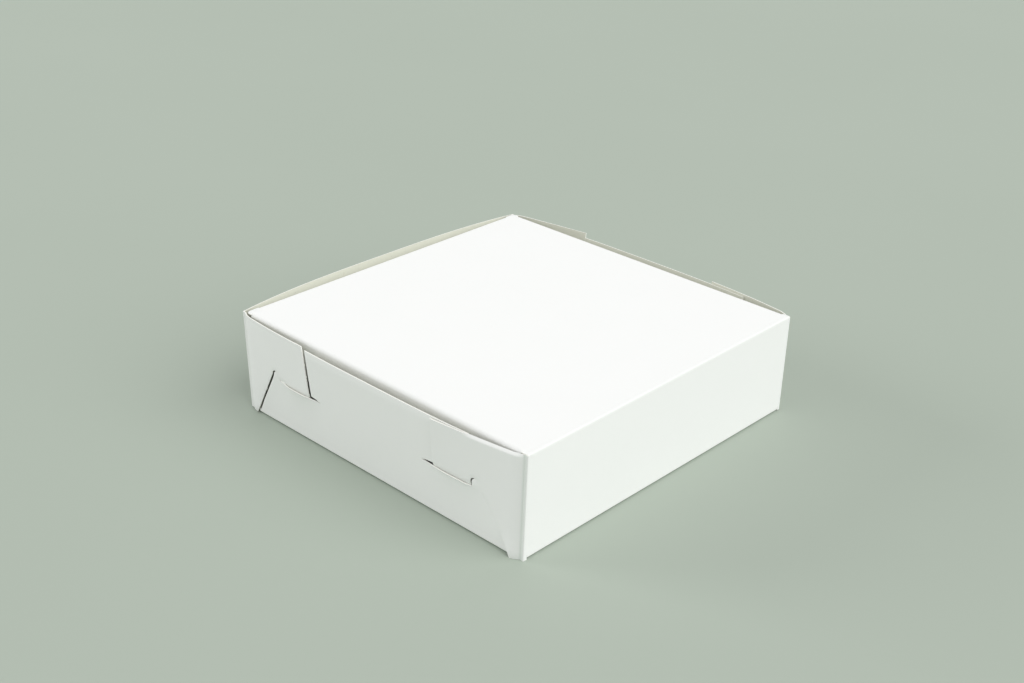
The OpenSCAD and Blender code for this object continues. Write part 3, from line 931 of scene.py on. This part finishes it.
for back, sign_y, corner in (("back", 1, BACK), ("front", -1, FRONT)):
    for end, sign_x in (("right", 1), ("left", -1)):
        node = "corner_fold_" + back + "_" + end
        middle = (sign_x * (HALF_W - FOLD_R), sign_y * (HALF_D - FOLD_R), 0)
        pieces[node] = crease(
            node.replace("fold", "crease"), ridge_section(corner), *reach(node, 2),
            axes(sign_x * X, Z, sign_y * Y, middle), corner_pressed_shade(corner), springy=True)
for node in ("corner_fold_back_right", "back_right_flap"):
    let_down(pieces[node])

# The lid's hinge crease has its bead between the corners, and only its bend beyond them
lid_leg = HINGE_Y - LID_BACK
hinge_place = axes(Y, X, Z, (0, HINGE_Y, AXIS_Z))
hinge_low, hinge_high = reach("lid_hinge_fold", 0)
hinge_low, hinge_high = hinge_low - CLOSE_GAP, hinge_high + CLOSE_GAP
hinge_parts = [crease(
    "lid_hinge_crease", bead_section(90, lid_leg, LEG), hinge_low, hinge_high, hinge_place)]
open_end = open_end_section(lid_leg, FLAP_TOP - AXIS_Z + TINY)
for low, high in ((-LID_W, hinge_low), (hinge_high, LID_W)):
    hinge_parts.append(crease("hinge_end", open_end, low, high, hinge_place))
bpy.ops.object.select_all(action="DESELECT")
for part in hinge_parts:
    part.select_set(True)
bpy.context.view_layer.objects.active = hinge_parts[0]
bpy.ops.object.join()
pieces["lid_hinge_fold"] = bpy.context.object
# Painted shade along the middle of the hinge's bend, where the light falls on it most
mark_pressed_shade(pieces["lid_hinge_fold"], hinge_painted_shade)
for node in ("lid_panel", "lid_hinge_fold"):
    droop(pieces[node])

pieces["tuck_fold"] = crease(
    "tuck_crease", bead_section(90 + degrees(TUCK_LEAN), LEG, LEG), *reach("tuck_fold", 0),
    axes(-Y, X, Z, (0, TUCK_Y, AXIS_Z)))
for name, sign in (("right", 1), ("left", -1)):
    node = "lid_fold_" + name
    pieces[node] = crease(
        "lid_crease_" + name, roll_section(90 + degrees(SIDE_LEAN)), *reach(node, 1),
        axes(sign * X, Y, Z, (sign * SIDE_X, 0, AXIS_Z)))


# What each piece rides on

record = frame["record"]
body_of = {node: body for body, nodes in record["behaviour"]["bodies"].items() for node in nodes}
hinges = {
    "lid_hinge_fold": ("tray", "lid", (0, HALF_D, AXIS_Z), (0, HINGE_Y, TOP)),
    "tuck_fold": ("lid", "tuck_flap", (0, TUCK_Y, TOP), (0, TUCK_Y - FOLD_R, AXIS_Z)),
    "lid_fold_right": ("lid", "lid_flap_right", (SIDE_X, 0, TOP), (SIDE_X + FOLD_R, 0, AXIS_Z)),
    "lid_fold_left": ("lid", "lid_flap_left", (-SIDE_X, 0, TOP), (-SIDE_X - FOLD_R, 0, AXIS_Z)),
}
for node, piece in pieces.items():
    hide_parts(node)
    if node in hinges:
        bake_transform(piece)
    else:
        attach(piece, body_of[node])


# Floor, light and camera

FLOOR_SIZE, FLOOR_Z = 12, -FOOT_LOW - 2 * TINY
BACKGROUND, SKY, SKY_STRENGTH = (0.72, 0.76, 0.72, 1), (1.0, 1.0, 1.0, 1), 0.555

bpy.ops.object.select_all(action="DESELECT")
bpy.ops.mesh.primitive_plane_add(size=FLOOR_SIZE, location=(0, 0, FLOOR_Z))
floor = bpy.context.object
floor.name = "pale_floor"
floor.data.materials.append(table_finish())

world = bpy.data.worlds.new("soft_studio")
bpy.context.scene.world = world
world.use_nodes = True
world_nodes, world_links = world.node_tree.nodes, world.node_tree.links
world_nodes.clear()
ray = world_nodes.new("ShaderNodeLightPath")
seen = world_nodes.new("ShaderNodeBackground")
seen.inputs["Color"].default_value = BACKGROUND
light = world_nodes.new("ShaderNodeBackground")
light.inputs["Color"].default_value = SKY
light.inputs["Strength"].default_value = SKY_STRENGTH
choose = world_nodes.new("ShaderNodeMixShader")
out = world_nodes.new("ShaderNodeOutputWorld")
seen_by = ray.outputs["Is Camera Ray"]
for kind in ("Is Glossy Ray", "Is Transmission Ray"):
    either = world_nodes.new("ShaderNodeMath")
    either.operation = "MAXIMUM"
    world_links.new(seen_by, either.inputs[0])
    world_links.new(ray.outputs[kind], either.inputs[1])
    seen_by = either.outputs[0]
world_links.new(seen_by, choose.inputs[0])
world_links.new(light.outputs[0], choose.inputs[1])
world_links.new(seen.outputs[0], choose.inputs[2])
world_links.new(choose.outputs[0], out.inputs["Surface"])


def lamp(name, towards, power, width, glints=True):
    """A wide far lamp that lights the box from a direction, over so many degrees of the sky."""
    direction = Vector(towards).normalized()
    bpy.ops.object.light_add(type="SUN", location=direction)
    made = bpy.context.object
    made.name, made.data.energy, made.data.angle = name, power, radians(width)
    made.rotation_euler = direction.to_track_quat("Z", "Y").to_euler()
    made.visible_glossy = glints


lamp("window_light", (-0.13, 0.72, 0.68), 1.92, 62)
lamp("side_light", (0.5, -0.82, 0.28), 1.08, 28, glints=False)

CAMERA_PLACE = (0.4385, 0.4070, 0.3345)
CAMERA_TURN, CAMERA_TILT, CAMERA_ROLL = radians(133.17), radians(63.43), radians(1.26)
CAMERA_LENS, CAMERA_SENSOR, CAMERA_NEAR = 49.96, 36, 0.01
bpy.ops.object.camera_add()
camera = bpy.context.object
camera.name = "photo_camera"
camera.data.lens, camera.data.sensor_width = CAMERA_LENS, CAMERA_SENSOR
camera.data.clip_start = CAMERA_NEAR
camera.matrix_world = (
    Matrix.Translation(CAMERA_PLACE)
    @ Matrix.Rotation(CAMERA_TURN, 4, "Z")
    @ Matrix.Rotation(CAMERA_TILT, 4, "X")
    @ Matrix.Rotation(CAMERA_ROLL, 4, "Z")
)
bpy.context.scene.camera = camera
bpy.context.scene.view_settings.view_transform = "Standard"
